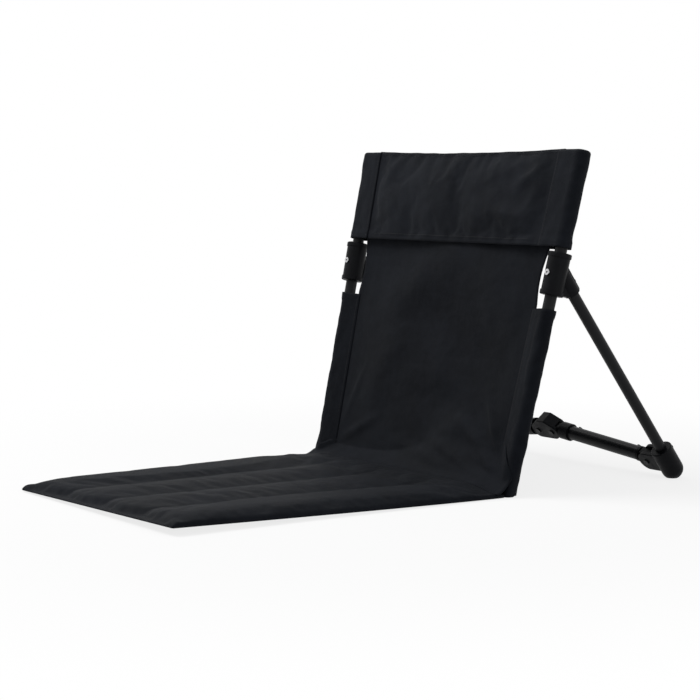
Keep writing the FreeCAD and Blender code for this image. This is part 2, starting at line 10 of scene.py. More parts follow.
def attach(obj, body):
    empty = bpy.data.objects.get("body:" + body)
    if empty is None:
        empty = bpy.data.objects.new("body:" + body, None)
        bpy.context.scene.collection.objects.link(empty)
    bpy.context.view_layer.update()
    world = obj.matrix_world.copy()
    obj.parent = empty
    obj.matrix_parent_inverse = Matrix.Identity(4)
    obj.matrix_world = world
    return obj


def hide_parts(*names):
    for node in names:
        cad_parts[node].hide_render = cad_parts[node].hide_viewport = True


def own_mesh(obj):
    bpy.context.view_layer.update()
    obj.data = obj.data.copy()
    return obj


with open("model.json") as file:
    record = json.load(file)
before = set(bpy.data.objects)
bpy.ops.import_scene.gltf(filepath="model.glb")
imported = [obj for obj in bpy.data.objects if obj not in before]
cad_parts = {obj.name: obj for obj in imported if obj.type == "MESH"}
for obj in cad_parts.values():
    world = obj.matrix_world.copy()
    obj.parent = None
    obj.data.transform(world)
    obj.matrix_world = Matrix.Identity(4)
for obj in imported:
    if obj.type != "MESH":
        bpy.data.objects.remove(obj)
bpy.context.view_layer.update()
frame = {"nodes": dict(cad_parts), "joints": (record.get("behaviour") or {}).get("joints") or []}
scene = bpy.context.scene
scene.view_settings.view_transform = "Standard"

# The room: a plain white floor that runs out of sight into a white background,
# one large soft lamp above and in front, and a weaker one on the other side.
ROOM_SIZE = 9.0
FLOOR_WHITE = 0.86
FLOOR_ROUGHNESS = 0.9
WHITE = (1, 1, 1, 1)
PAPER_SHARE = 0.80
SHADOW_NEAR = 0.45
SHADOW_FAR = 1.10
SKY_STRENGTH = 0.42
LAMP_SIZE = 1.6
KEY_POWER = 57.0
KEY_PLACE = (-1.1, -1.05, 2.45)
KEY_AIM = (0, 0, 0.15)
FILL_POWER = 8.0
FILL_PLACE = (2.2, 0.6, 1.2)
FILL_AIM = (0, 0.1, 0.15)
CAMERA_PLACE = (2.0401, -1.4741, 0.4066)
CAMERA_TILT = 84.81
CAMERA_TURN = 54.23
CAMERA_LENS = 97.83
CAMERA_SENSOR = 36.0


def new_finish(name):
    """Material with its node tree and its shader."""
    finish = bpy.data.materials.new(name)
    finish.use_nodes = True
    return finish, finish.node_tree, finish.node_tree.nodes["Principled BSDF"]


def add(tree, kind, **settings):
    """New node of a tree, with its settings."""
    node = tree.nodes.new(kind)
    for setting, value in settings.items():
        setattr(node, setting, value)
    return node


def new_piece(name, cut, finish):
    """Object made from a bmesh, with smooth faces and one finish."""
    mesh = bpy.data.meshes.new(name)
    for face in cut.faces:
        face.smooth = True
    cut.to_mesh(mesh)
    cut.free()
    mesh.materials.append(finish)
    piece = bpy.data.objects.new(name, mesh)
    scene.collection.objects.link(piece)
    return piece


def seen_directly(tree):
    """Value that is 1 where the camera, a reflection or a refraction looks straight at it."""
    path = add(tree, "ShaderNodeLightPath")
    glossy = add(tree, "ShaderNodeMath", operation="MAXIMUM")
    tree.links.new(path.outputs["Is Camera Ray"], glossy.inputs[0])
    tree.links.new(path.outputs["Is Glossy Ray"], glossy.inputs[1])
    direct = add(tree, "ShaderNodeMath", operation="MAXIMUM")
    tree.links.new(glossy.outputs[0], direct.inputs[0])
    tree.links.new(path.outputs["Is Transmission Ray"], direct.inputs[1])
    return direct.outputs[0]


floor_paint, tree, shader = new_finish("white_floor")
shader.inputs["Base Color"].default_value = (FLOOR_WHITE, FLOOR_WHITE, FLOOR_WHITE, 1)
shader.inputs["Roughness"].default_value = FLOOR_ROUGHNESS
shader.inputs["Specular IOR Level"].default_value = 0.0
paper = add(tree, "ShaderNodeEmission")
paper.inputs["Color"].default_value = WHITE
distance = add(tree, "ShaderNodeVectorMath", operation="LENGTH")
tree.links.new(add(tree, "ShaderNodeTexCoord").outputs["Object"], distance.inputs[0])
fading = add(tree, "ShaderNodeMapRange", interpolation_type="SMOOTHSTEP")
fading.inputs["From Min"].default_value = SHADOW_NEAR
fading.inputs["From Max"].default_value = SHADOW_FAR
fading.inputs["To Min"].default_value = PAPER_SHARE
tree.links.new(distance.outputs["Value"], fading.inputs["Value"])
share = add(tree, "ShaderNodeMath", operation="MULTIPLY")
tree.links.new(fading.outputs["Result"], share.inputs[1])
tree.links.new(seen_directly(tree), share.inputs[0])
mixed = add(tree, "ShaderNodeMixShader")
tree.links.new(share.outputs[0], mixed.inputs[0])
tree.links.new(shader.outputs[0], mixed.inputs[1])
tree.links.new(paper.outputs[0], mixed.inputs[2])
tree.links.new(mixed.outputs[0], tree.nodes["Material Output"].inputs["Surface"])
cut = bmesh.new()
bmesh.ops.create_grid(cut, x_segments=1, y_segments=1, size=ROOM_SIZE)
floor = new_piece("floor", cut, floor_paint)

world = bpy.data.worlds.new("white_room")
world.use_nodes = True
scene.world = world
tree = world.node_tree
tree.nodes.clear()
sky = add(tree, "ShaderNodeBackground")
sky.inputs["Color"].default_value = WHITE
strength = add(tree, "ShaderNodeMapRange")
strength.inputs["To Min"].default_value = SKY_STRENGTH
strength.inputs["To Max"].default_value = 1.0
tree.links.new(seen_directly(tree), strength.inputs["Value"])
tree.links.new(strength.outputs["Result"], sky.inputs["Strength"])
tree.links.new(sky.outputs[0], add(tree, "ShaderNodeOutputWorld").inputs["Surface"])


def soft_lamp(name, place, aim, power):
    """Square area lamp that points at aim."""
    lamp = bpy.data.lights.new(name, "AREA")
    lamp.energy = power
    lamp.size = LAMP_SIZE
    holder = bpy.data.objects.new(name, lamp)
    holder.location = place
    holder.rotation_euler = (Vector(aim) - Vector(place)).to_track_quat("-Z", "Y").to_euler()
    scene.collection.objects.link(holder)


soft_lamp("key_lamp", KEY_PLACE, KEY_AIM, KEY_POWER)
soft_lamp("fill_lamp", FILL_PLACE, FILL_AIM, FILL_POWER)

lens = bpy.data.cameras.new("camera")
lens.lens = CAMERA_LENS
lens.sensor_width = CAMERA_SENSOR
camera = bpy.data.objects.new("camera", lens)
camera.location = CAMERA_PLACE
camera.rotation_euler = (math.radians(CAMERA_TILT), 0, math.radians(CAMERA_TURN))
scene.collection.objects.link(camera)
scene.camera = camera

# Frame tubes: two reclined uprights, two rear struts and the two halves of the rear bar.
# Thin-walled steel, powder-coated black in a satin finish with a slight orange peel.
SIDES = {"left": 1.0, "right": -1.0}
COAT_DARK = (0.0028, 0.0032, 0.0042, 1)
COAT_RUBBED = (0.0072, 0.0077, 0.0090, 1)
COAT_SHINE = 0.16
COAT_ROUGHNESS = (0.34, 0.50)
RUB_SCALE = 46.0
RUB_SPAN = (0.56, 0.74)
GLOSS_SCALE = 90.0
PEEL_SCALE = 620.0
PEEL_DEPTH = 0.00005


def ramp(tree, value, low, high):
    """Value spread from 0 at low to 1 at high, and held outside them."""
    spread = add(tree, "ShaderNodeMapRange", interpolation_type="SMOOTHSTEP")
    spread.inputs["From Min"].default_value = low
    spread.inputs["From Max"].default_value = high
    tree.links.new(value, spread.inputs["Value"])
    return spread.outputs["Result"]


def blotches(tree, place, scale, detail=3.0, roughness=0.55):
    """Noise over a place, about scale to the metre."""
    cloud = add(tree, "ShaderNodeTexNoise")
    cloud.inputs["Scale"].default_value = scale
    cloud.inputs["Detail"].default_value = detail
    cloud.inputs["Roughness"].default_value = roughness
    tree.links.new(place, cloud.inputs["Vector"])
    return cloud.outputs["Fac"]


def between(tree, share, first, second):
    """Colour between two others."""
    mix = add(tree, "ShaderNodeMix", data_type="RGBA")
    mix.inputs["A"].default_value = first
    mix.inputs["B"].default_value = second
    tree.links.new(share, mix.inputs["Factor"])
    return mix.outputs["Result"]


def spread_to(tree, value, low, high):
    """Value from 0 to 1 moved to the span from low to high."""
    moved = add(tree, "ShaderNodeMapRange")
    moved.inputs["To Min"].default_value = low
    moved.inputs["To Max"].default_value = high
    tree.links.new(value, moved.inputs["Value"])
    return moved.outputs["Result"]


def relief(tree, shader, height, depth, under=None):
    """Bump of a depth in metres on a shader, over an earlier bump."""
    bump = add(tree, "ShaderNodeBump")
    bump.inputs["Distance"].default_value = depth
    tree.links.new(height, bump.inputs["Height"])
    if under is not None:
        tree.links.new(under.outputs["Normal"], bump.inputs["Normal"])
    tree.links.new(bump.outputs["Normal"], shader.inputs["Normal"])
    return bump


def wear(nodes, finish):
    """Puts a finish on CAD nodes."""
    for node in nodes:
        slots = frame["nodes"][node].data.materials
        slots.clear()
        slots.append(finish)


coat, tree, shader = new_finish("satin_powder_coat")
place = add(tree, "ShaderNodeTexCoord").outputs["Object"]
rubbed = ramp(tree, blotches(tree, place, RUB_SCALE, detail=6.0, roughness=0.7), *RUB_SPAN)
tree.links.new(between(tree, rubbed, COAT_DARK, COAT_RUBBED), shader.inputs["Base Color"])
gloss = spread_to(tree, blotches(tree, place, GLOSS_SCALE), *COAT_ROUGHNESS)
tree.links.new(gloss, shader.inputs["Roughness"])
shader.inputs["Specular IOR Level"].default_value = COAT_SHINE
relief(tree, shader, blotches(tree, place, PEEL_SCALE, detail=2.0), PEEL_DEPTH)
wear(["%s_%s" % (side, tube) for side in SIDES for tube in ("upright_tube", "strut", "bar_tube")], coat)

# Moulded fittings: brackets, boots, plugs, bar ends and the middle link.
# Glass-filled nylon, black all through, with the dull grain of an etched mould.
NYLON_DARK = (0.0018, 0.0021, 0.0030, 1)
NYLON_PALE = (0.0040, 0.0044, 0.0058, 1)
NYLON_SHINE = 0.08
NYLON_ROUGHNESS = (0.42, 0.58)
SCUFF_SCALE = 70.0
SCUFF_SPAN = (0.42, 0.70)
FLOW_SCALE = 130.0
FLOW_DEPTH = 0.00012
GRAIN_SCALE = 1500.0
GRAIN_DEPTH = 0.00006

nylon, tree, shader = new_finish("moulded_nylon")
place = add(tree, "ShaderNodeTexCoord").outputs["Object"]
scuffed = ramp(tree, blotches(tree, place, SCUFF_SCALE, detail=5.0, roughness=0.65), *SCUFF_SPAN)
tree.links.new(between(tree, scuffed, NYLON_DARK, NYLON_PALE), shader.inputs["Base Color"])
tree.links.new(spread_to(tree, scuffed, *NYLON_ROUGHNESS), shader.inputs["Roughness"])
shader.inputs["Specular IOR Level"].default_value = NYLON_SHINE
flow = relief(tree, shader, blotches(tree, place, FLOW_SCALE, detail=2.0), FLOW_DEPTH)
relief(tree, shader, blotches(tree, place, GRAIN_SCALE, detail=2.0), GRAIN_DEPTH, flow)
fittings = ["centre_link"]
for side in SIDES:
    for fitting in ("upright_cap", "upright_foot", "bracket", "boot", "bar_knuckle", "bar_fitting"):
        fittings.append("%s_%s" % (side, fitting))
wear(fittings, nylon)

# Rivets and pins: bright hollow rivets in front of the brackets, and blackened ones
# in the struts, the bar and the pivots. Steel, turned and set with a press.
STEEL_PALE = (0.60, 0.60, 0.61, 1)
STEEL_DULL = (0.38, 0.38, 0.39, 1)
STEEL_ROUGHNESS = (0.24, 0.42)
STEEL_SHINE = 0.5
BLACKED = (0.0050, 0.0053, 0.0062, 1)
BLACKED_RUBBED = (0.0160, 0.0165, 0.0180, 1)
BLACKED_ROUGHNESS = (0.38, 0.55)
BLACKED_SHINE = 0.16
DULL_SCALE = 420.0
DULL_SPAN = (0.40, 0.68)
TURNING_SCALE = 2600.0
TURNING_DEPTH = 0.00002


def turned_steel(name, first, second, roughness, shine, metal):
    """Steel with fine turning marks and blotches of dulled surface."""
    finish, tree, shader = new_finish(name)
    place = add(tree, "ShaderNodeTexCoord").outputs["Object"]
    dulled = ramp(tree, blotches(tree, place, DULL_SCALE, detail=4.0, roughness=0.6), *DULL_SPAN)
    tree.links.new(between(tree, dulled, first, second), shader.inputs["Base Color"])
    tree.links.new(spread_to(tree, dulled, *roughness), shader.inputs["Roughness"])
    shader.inputs["Metallic"].default_value = metal
    shader.inputs["Specular IOR Level"].default_value = shine
    relief(tree, shader, blotches(tree, place, TURNING_SCALE, detail=1.0), TURNING_DEPTH)
    return finish


bright_steel = turned_steel("bright_rivet_steel", STEEL_PALE, STEEL_DULL,
                            STEEL_ROUGHNESS, STEEL_SHINE, metal=1.0)
black_steel = turned_steel("blacked_steel", BLACKED, BLACKED_RUBBED,
                           BLACKED_ROUGHNESS, BLACKED_SHINE, metal=0.0)
wear(["%s_bracket_rivet" % side for side in SIDES], bright_steel)
wear(["%s_%s" % (side, rivet) for side in SIDES for rivet in ("strut_rivets", "bar_rivets", "boot_pin")],
     black_steel)
wear(["centre_pins"], black_steel)

# Sleeves: the edges of the back cloth, folded round the uprights and sewn down on both faces.
# Black coated polyester in a plain weave, slack enough for the tubes to slide in.
RECLINE = math.radians(13.4)
UPRIGHT_FOOT_HALF = 0.2065
UPRIGHT_TOP_HALF = 0.2260
UPRIGHT_LENGTH = 0.452
CREASE = Vector([joint for joint in frame["joints"] if joint["name"] == "seat_fold"][0]["pos_m"])
CREASE_FORWARD = 0.027
FOOT_OF_BACK = CREASE.y + CREASE_FORWARD
CLOTH_THICKNESS = 0.0011
SEAM_IN = 0.028
SEAM_LIP = 0.0007
SLEEVE_RADIUS = 0.0098
SLEEVE_FLOOR_GAP = 0.0014
SLEEVE_HIGH = 0.244
SLEEVE_HEM = 0.009
SLEEVE_HEM_THICK = 0.0006
HEM_STEP = 0.002
SLEEVE_GRID = (44, 80)
SLEEVE_SEAM_LOW = 0.070
SLEEVE_SEAM_INSET = 0.0035
SEAM_END = 0.002
PUCKER_SCALE = 38.0
PUCKER_SQUEEZE = 2.5
PUCKER_SHIFT = 3.0
PUCKER_HEIGHT = 0.0011
CRINKLE_SCALE = 110.0
CRINKLE_HEIGHT = 0.0004
SMALLEST_RADIUS = 0.004
FOOT_SQUARE = 4.0
FOOT_SQUARE_UP = (0.014, 0.040)
CLOTH_DARK = (0.0020, 0.0028, 0.0046, 1)
CLOTH_PALE = (0.0058, 0.0070, 0.0100, 1)
CLOTH_SHINE = 0.06
CLOTH_ROUGHNESS = (0.60, 0.80)
CLOTH_SHEEN = 0.02
CLOTH_SHEEN_ROUGHNESS = 0.45
BROAD_SCALE = 9.0
FINE_SCALE = 75.0
FINE_SHARE = 0.45
FADED_SPAN = (0.50, 0.95)
WRINKLE_DEPTH = 0.0006
THREADS_PER_METRE = 1150.0
WEAVE_DEPTH = 0.00010
THREAD_DARK = (0.0024, 0.0030, 0.0044, 1)
THREAD_PALE = (0.0068, 0.0074, 0.0094, 1)
THREAD_SHINE = 0.25
THREAD_ROUGHNESS = (0.45, 0.75)
FUZZ_SCALE = 700.0
FUZZ_SPAN = (0.35, 0.70)
FIBRE_SCALE = 2400.0
FIBRE_DEPTH = 0.00010
STITCH_PITCH = 0.0043
STITCH_SIZE = (0.0034, 0.0010, 0.0009)
STITCH_REACH = 0.08


def on_back(across, out, up):
    """Point of the reclined back: across the chair, behind the uprights' plane and up along it."""
    y = FOOT_OF_BACK + out * math.cos(RECLINE) + up * math.sin(RECLINE)
    z = -out * math.sin(RECLINE) + up * math.cos(RECLINE)
    return Vector((across, y, z))


BACKWARD = on_back(0, 1, 0) - on_back(0, 0, 0)


def upright_at(up):
    """How far an upright's axis is from the middle plane at a height along the back."""
    splay = (UPRIGHT_TOP_HALF - UPRIGHT_FOOT_HALF) / UPRIGHT_LENGTH
    return UPRIGHT_FOOT_HALF + splay * up


def seam_at(up):
    """How far a sleeve's seam is from the middle plane."""
    return upright_at(up) - SEAM_IN


def smooth_step(value, low, high):
    """0 below low, 1 above high and a smooth rise between them."""
    share = min(max((value - low) / (high - low), 0.0), 1.0)
    return share * share * (3.0 - 2.0 * share)


def ripple(across, up, scale, seed):
    """Smooth noise from about -1 to 1 over a cloth."""
    return noise.noise(Vector((across * scale, up * scale, seed)))


def keep_flat(cut, flats):
    """Keeps a cloth's flat cut in metres as its UV map, and turns its faces outwards."""
    weave = cut.loops.layers.uv.new("flat")
    for face in cut.faces:
        for corner in face.loops:
            corner[weave].uv = flats[corner.vert]
    bmesh.ops.recalc_face_normals(cut, faces=cut.faces)


def cut_cloth(columns, rows, place):
    """Cloth cut as a grid and laid where place says.
    Place takes the shares across and along, and gives the point and the flat point."""
    cut = bmesh.new()
    bmesh.ops.create_grid(cut, x_segments=columns, y_segments=rows, size=0.5)
    flats = {}
    for vert in cut.verts:
        vert.co, flats[vert] = place(vert.co.x + 0.5, vert.co.y + 0.5)
    keep_flat(cut, flats)
    return cut


def thicken(piece):
    """Gives a single layer of cloth its thickness, half on each side."""
    wall = piece.modifiers.new("thickness", "SOLIDIFY")
    wall.thickness = CLOTH_THICKNESS
    wall.offset = 0.0
    wall.use_quality_normals = True


def woven(name, dark, pale):
    """Coated plain-weave polyester: crossing threads, soft wrinkles and paler rubbed places."""
    finish, tree, shader = new_finish(name)
    flat = add(tree, "ShaderNodeUVMap", uv_map="flat").outputs["UV"]
    ways = add(tree, "ShaderNodeSeparateXYZ")
    tree.links.new(flat, ways.inputs[0])
    threads = []
    for way in ("X", "Y"):
        turn = add(tree, "ShaderNodeMath", operation="MULTIPLY")
        turn.inputs[1].default_value = THREADS_PER_METRE * math.pi
        tree.links.new(ways.outputs[way], turn.inputs[0])
        thread = add(tree, "ShaderNodeMath", operation="SINE")
        tree.links.new(turn.outputs[0], thread.inputs[0])
        threads.append(thread.outputs[0])
    crossing = add(tree, "ShaderNodeMath", operation="MULTIPLY")
    tree.links.new(threads[0], crossing.inputs[0])
    tree.links.new(threads[1], crossing.inputs[1])
    broad = blotches(tree, flat, BROAD_SCALE, detail=4.0)
    fine = blotches(tree, flat, FINE_SCALE, detail=4.0, roughness=0.6)
    rubbed = add(tree, "ShaderNodeMath", operation="MULTIPLY_ADD")
    rubbed.inputs[1].default_value = FINE_SHARE
    tree.links.new(fine, rubbed.inputs[0])
    tree.links.new(broad, rubbed.inputs[2])
    faded = ramp(tree, rubbed.outputs[0], *FADED_SPAN)
    tree.links.new(between(tree, faded, dark, pale), shader.inputs["Base Color"])
    tree.links.new(spread_to(tree, broad, *CLOTH_ROUGHNESS), shader.inputs["Roughness"])
    shader.inputs["Specular IOR Level"].default_value = CLOTH_SHINE
    shader.inputs["Sheen Weight"].default_value = CLOTH_SHEEN
    shader.inputs["Sheen Roughness"].default_value = CLOTH_SHEEN_ROUGHNESS
    wrinkles = relief(tree, shader, fine, WRINKLE_DEPTH)
    relief(tree, shader, crossing.outputs[0], WEAVE_DEPTH, wrinkles)
    return finish


cloth = woven("woven_polyester", CLOTH_DARK, CLOTH_PALE)
thread, tree, shader = new_finish("spun_thread")
place = add(tree, "ShaderNodeTexCoord").outputs["Object"]
fuzz = blotches(tree, place, FUZZ_SCALE)
faded = ramp(tree, fuzz, *FUZZ_SPAN)
tree.links.new(between(tree, faded, THREAD_DARK, THREAD_PALE), shader.inputs["Base Color"])
tree.links.new(spread_to(tree, fuzz, *THREAD_ROUGHNESS), shader.inputs["Roughness"])
shader.inputs["Specular IOR Level"].default_value = THREAD_SHINE
relief(tree, shader, blotches(tree, place, FIBRE_SCALE, detail=1.0), FIBRE_DEPTH)


def stitch_path(start, end):
    """Points a stitch apart on a straight line."""
    run = end - start
    count = int(run.length / STITCH_PITCH)
    return [start + run * ((index + 0.5) / count) for index in range(count)]


def sew(name, carrier, lines):
    """Thread on a cloth: a grain for every stitch of lines, each dropped in its direction."""
    cut = bmesh.new()
    for piece, path, toward in lines:
        surface = BVHTree.FromObject(piece, bpy.context.evaluated_depsgraph_get())
        hits = []
        for point in path:
            start = point - toward * STITCH_REACH
            place, normal = surface.ray_cast(start, toward, 2.0 * STITCH_REACH)[:2]
            if place is not None:
                hits.append((place, normal))
        for index, (place, normal) in enumerate(hits[:-1]):
            way = (hits[index + 1][0] - place).normalized()
            beside = normal.cross(way).normalized()
            turn = Matrix((way, beside, way.cross(beside))).transposed().to_4x4()
            size = Matrix.Diagonal(STITCH_SIZE).to_4x4()
            spot = Matrix.Translation(place) @ turn @ size
            bmesh.ops.create_icosphere(cut, subdivisions=1, radius=0.5, matrix=spot)
    stitching = new_piece(name, cut, thread)
    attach(stitching, carrier)
    return stitching


def sleeve_section(share):
    """Across and out from the upright's axis, round a sleeve from its front lip to its back lip;
    with the length run so far."""
    lean = math.asin(SLEEVE_RADIUS / SEAM_IN)
    straight = SEAM_IN * math.cos(lean)
    length = 2.0 * straight + SLEEVE_RADIUS * (math.pi + 2.0 * lean)
    run = share * length
    if straight < run < length - straight:
        angle = (run - length / 2.0) / SLEEVE_RADIUS
        return SLEEVE_RADIUS * math.cos(angle), SLEEVE_RADIUS * math.sin(angle), run
    face = -1.0 if share < 0.5 else 1.0
    part = min(run, length - run) / straight
    across = -SEAM_IN + part * (SEAM_IN - SLEEVE_RADIUS * math.sin(lean))
    out = face * (SEAM_LIP + part * (SLEEVE_RADIUS * math.cos(lean) - SEAM_LIP))
    return across, out, run


def sleeve_place(side):
    """Place of a point of the sleeve on one side, level at the floor and squared in front there."""
    hem = SLEEVE_HIGH - SLEEVE_HEM

    def place(share, along):
        across, out, run = sleeve_section(share)
        foot = (SLEEVE_FLOOR_GAP + out * math.sin(RECLINE)) / math.cos(RECLINE)
        up = foot + along * (SLEEVE_HIGH - foot)
        slack = 1.0 - abs(2.0 * share - 1.0) ** 3
        shifted = run * PUCKER_SQUEEZE + PUCKER_SHIFT * side
        pucker = PUCKER_HEIGHT * ripple(shifted, up, PUCKER_SCALE, seed=5.0)
        pucker += CRINKLE_HEIGHT * ripple(run, up, CRINKLE_SCALE, seed=9.0 + side)
        pucker += SLEEVE_HEM_THICK * smooth_step(up, hem - HEM_STEP, hem)
        grow = 1.0 + pucker * slack / max(math.hypot(across, out), SMALLEST_RADIUS)
        if across > 0.0 > out:
            sides = (across / SLEEVE_RADIUS) ** FOOT_SQUARE + abs(out / SLEEVE_RADIUS) ** FOOT_SQUARE
            grow += (sides ** (-1.0 / FOOT_SQUARE) - 1.0) * (1.0 - smooth_step(up, *FOOT_SQUARE_UP))
        return on_back(side * (upright_at(up) + across * grow), out * grow, up), (run, up)
    return place


def seam_path(side, low, high, inset):
    """Line of stitches along a seam of the back, a little beside its edge."""
    ends = [on_back(side * (seam_at(up) + inset), 0.0, up) for up in (low, high)]
    return stitch_path(*ends)


for name, side in SIDES.items():
    sleeve = new_piece(name + "_sleeve", cut_cloth(*SLEEVE_GRID, sleeve_place(side)), cloth)
    thicken(sleeve)
    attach(sleeve, name + "_frame")
    seam = seam_path(side, SLEEVE_SEAM_LOW, SLEEVE_HIGH - SEAM_END, SLEEVE_SEAM_INSET)
    sew(name + "_sleeve_stitches", name + "_frame", [(sleeve, seam, BACKWARD), (sleeve, seam, -BACKWARD)])

# Back panel: one cloth between the two sleeves, notched round the brackets, its top end
# tucked up inside the headrest pocket and its foot curving forward into the seat.
PANEL_TOP = 0.349
POCKET_LOW = 0.325
PANEL_BOW = 0.006
PANEL_UNDER = 0.005
NOTCH_ENDS = 0.0215
NOTCH_MIDDLE = 0.0275
NOTCH_UNDER = 0.002
NOTCH_TURN = 0.010
TOE_SHARE = 0.24
TOE_FAR = 0.028
TOE_NEAR = 0.042
TOE_HILL = 0.050
TOE_HILL_AT = 0.38
TOE_HILL_WIDTH = 0.45
TOE_TURN = 0.64
TOE_UP = (CREASE.y - FOOT_OF_BACK) * math.sin(RECLINE) + CREASE.z * math.cos(RECLINE)
TOE_OUT = (CREASE.y - FOOT_OF_BACK) * math.cos(RECLINE) - CREASE.z * math.sin(RECLINE)
FOOT_HALF = 0.2178
CORNER_DROP = 0.0075
CORNER_START = 0.72
FAR_SPREAD = (0.008, 0.036)
NEAR_SPREAD = (0.020, 0.078)
LAP_OVER = 0.0016
LAP_STEEPNESS = 1.15
LAP_START = 0.15
PANEL_GRID = (92, 104)
PANEL_LOOSENESS = 3.0
PANEL_HELD_FOOT = 0.030
PANEL_HELD_TOP = 0.020
STREAK_SCALE = 120.0
STREAK_STRETCH = 0.3
STREAK_HEIGHT = 0.0005


def ridge(across, up, start, end, width, height):
    """Soft fold along a line on the cloth: highest in the middle of its length."""
    run = Vector(end) - Vector(start)
    here = Vector((across, up)) - Vector(start)
    share = here.dot(run) / run.length_squared
    if share <= 0.0 or share >= 1.0:
        return 0.0
    beside = (here - run * share).length
    return height * math.sin(math.pi * share) * math.exp(-(beside / width) ** 2)


def corner_drop(side_share):
    """How much lower the foot's two corners lie than its middle."""
    return CORNER_DROP * smooth_step(abs(side_share), CORNER_START, 1.0)


def foot_spread(side_share, up):
    """How far the foot of the panel spreads over a sleeve, higher on the near side."""
    nearness = (side_share + 1.0) / 2.0
    low, high = [far + (near - far) * nearness for far, near in zip(FAR_SPREAD, NEAR_SPREAD)]
    return 1.0 - smooth_step(up, low, high)


def panel_edge(side_share, up):
    """Half width of the panel: tucked into the sleeves, cut in at the notches, spread at the foot."""
    into = smooth_step(up, SLEEVE_HIGH - NOTCH_UNDER, SLEEVE_HIGH + NOTCH_TURN)
    along_notch = min(max((up - SLEEVE_HIGH) / (POCKET_LOW - SLEEVE_HIGH), 0.0), 1.0)
    notch = NOTCH_ENDS + (NOTCH_MIDDLE - NOTCH_ENDS) * math.sin(math.pi * along_notch)
    edge = seam_at(up) + PANEL_UNDER + (SEAM_IN - PANEL_UNDER - notch) * into
    return edge + (FOOT_HALF - edge) * foot_spread(side_share, up)


def front_of_sleeve(across, up):
    """How far in front of the uprights' plane a cloth lies that laps over a sleeve."""
    beside = abs(across) - upright_at(up)
    over = SLEEVE_RADIUS + LAP_OVER
    if beside > 0.0:
        return math.sqrt(max(over ** 2 - beside ** 2, 0.0))
    share = max(1.0 + beside / SEAM_IN, 0.0)
    return over * min(LAP_STEEPNESS * share, 1.0)


def toe_top(side_share):
    """Height at which the panel leaves the plane of the back and rolls forward into the seat."""
    hill = TOE_HILL * math.exp(-((side_share - TOE_HILL_AT) / TOE_HILL_WIDTH) ** 2)
    return TOE_FAR + (TOE_NEAR - TOE_FAR) * (side_share + 1.0) / 2.0 + hill


# Waves of the panel: scale to the metre, seed and height. Its folds: start and end, across
# and up, width and height, as they show in the photograph.
PANEL_WAVES = ((8.0, 2.0, 0.0030), (26.0, 4.0, 0.0009))
PANEL_FOLDS = (
    ((0.205, 0.012), (0.075, 0.098), 0.007, 0.0045),
    ((0.195, 0.022), (0.118, 0.145), 0.006, 0.0034),
    ((0.205, 0.010), (0.020, 0.060), 0.008, 0.0055),
    ((0.180, 0.008), (-0.060, 0.046), 0.009, 0.0040),
    ((-0.190, 0.024), (-0.080, 0.080), 0.007, 0.0030),
    ((-0.185, 0.034), (-0.135, 0.150), 0.006, 0.0022),
    ((0.200, 0.014), (0.100, 0.042), 0.006, -0.0050),
    ((0.020, 0.026), (0.110, 0.100), 0.026, 0.0050),
    ((-0.170, 0.200), (0.080, 0.345), 0.042, 0.0080),
    ((0.185, 0.120), (-0.060, 0.260), 0.046, -0.0080),
    ((-0.150, 0.050), (-0.060, 0.230), 0.036, 0.0060),
    ((0.175, 0.215), (0.040, 0.330), 0.030, 0.0045),
    ((0.165, 0.085), (-0.040, 0.125), 0.022, -0.0045),
)


def panel_point(share, along):
    """Place and flat place of a point of the panel."""
    side_share = 2.0 * share - 1.0
    middle = 1.0 - side_share ** 2
    bend = toe_top(side_share)
    toe_up = TOE_UP - corner_drop(side_share) * math.cos(RECLINE)
    toe_out = TOE_OUT + corner_drop(side_share) * math.sin(RECLINE)
    angle = max(1.0 - along / TOE_SHARE, 0.0) * math.pi / 2.0
    rise = max((along - TOE_SHARE) / (1.0 - TOE_SHARE), 0.0)
    up = bend + rise * (PANEL_TOP - bend) - (bend - toe_up) * math.sin(angle)
    across = side_share * panel_edge(side_share, up)
    bowed = PANEL_BOW * middle
    out = bowed + (toe_out - bowed) * (1.0 - math.cos(angle)) ** TOE_TURN
    lapped = smooth_step(foot_spread(side_share, up), 0.0, LAP_START)
    out = min(out, -front_of_sleeve(across, up) * lapped)
    loose = min(middle * PANEL_LOOSENESS, 1.0) * smooth_step(up, TOE_UP, TOE_UP + PANEL_HELD_FOOT)
    loose *= 1.0 - smooth_step(up, PANEL_TOP - PANEL_HELD_TOP, PANEL_TOP)
    swell = 0.0
    for scale, seed, height in PANEL_WAVES:
        swell += height * ripple(across, up, scale, seed)
    for start, end, width, height in PANEL_FOLDS:
        swell += ridge(across, up, start, end, width, height)
    swell += STREAK_HEIGHT * ripple(across * STREAK_STRETCH, up, STREAK_SCALE, seed=7.0)
    return on_back(across, out - swell * loose, up), (across, up)


panel = new_piece("back_panel_cloth", cut_cloth(*PANEL_GRID, panel_point), cloth)
thicken(panel)
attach(panel, "left_frame")
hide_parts("back_panel")
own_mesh(panel)

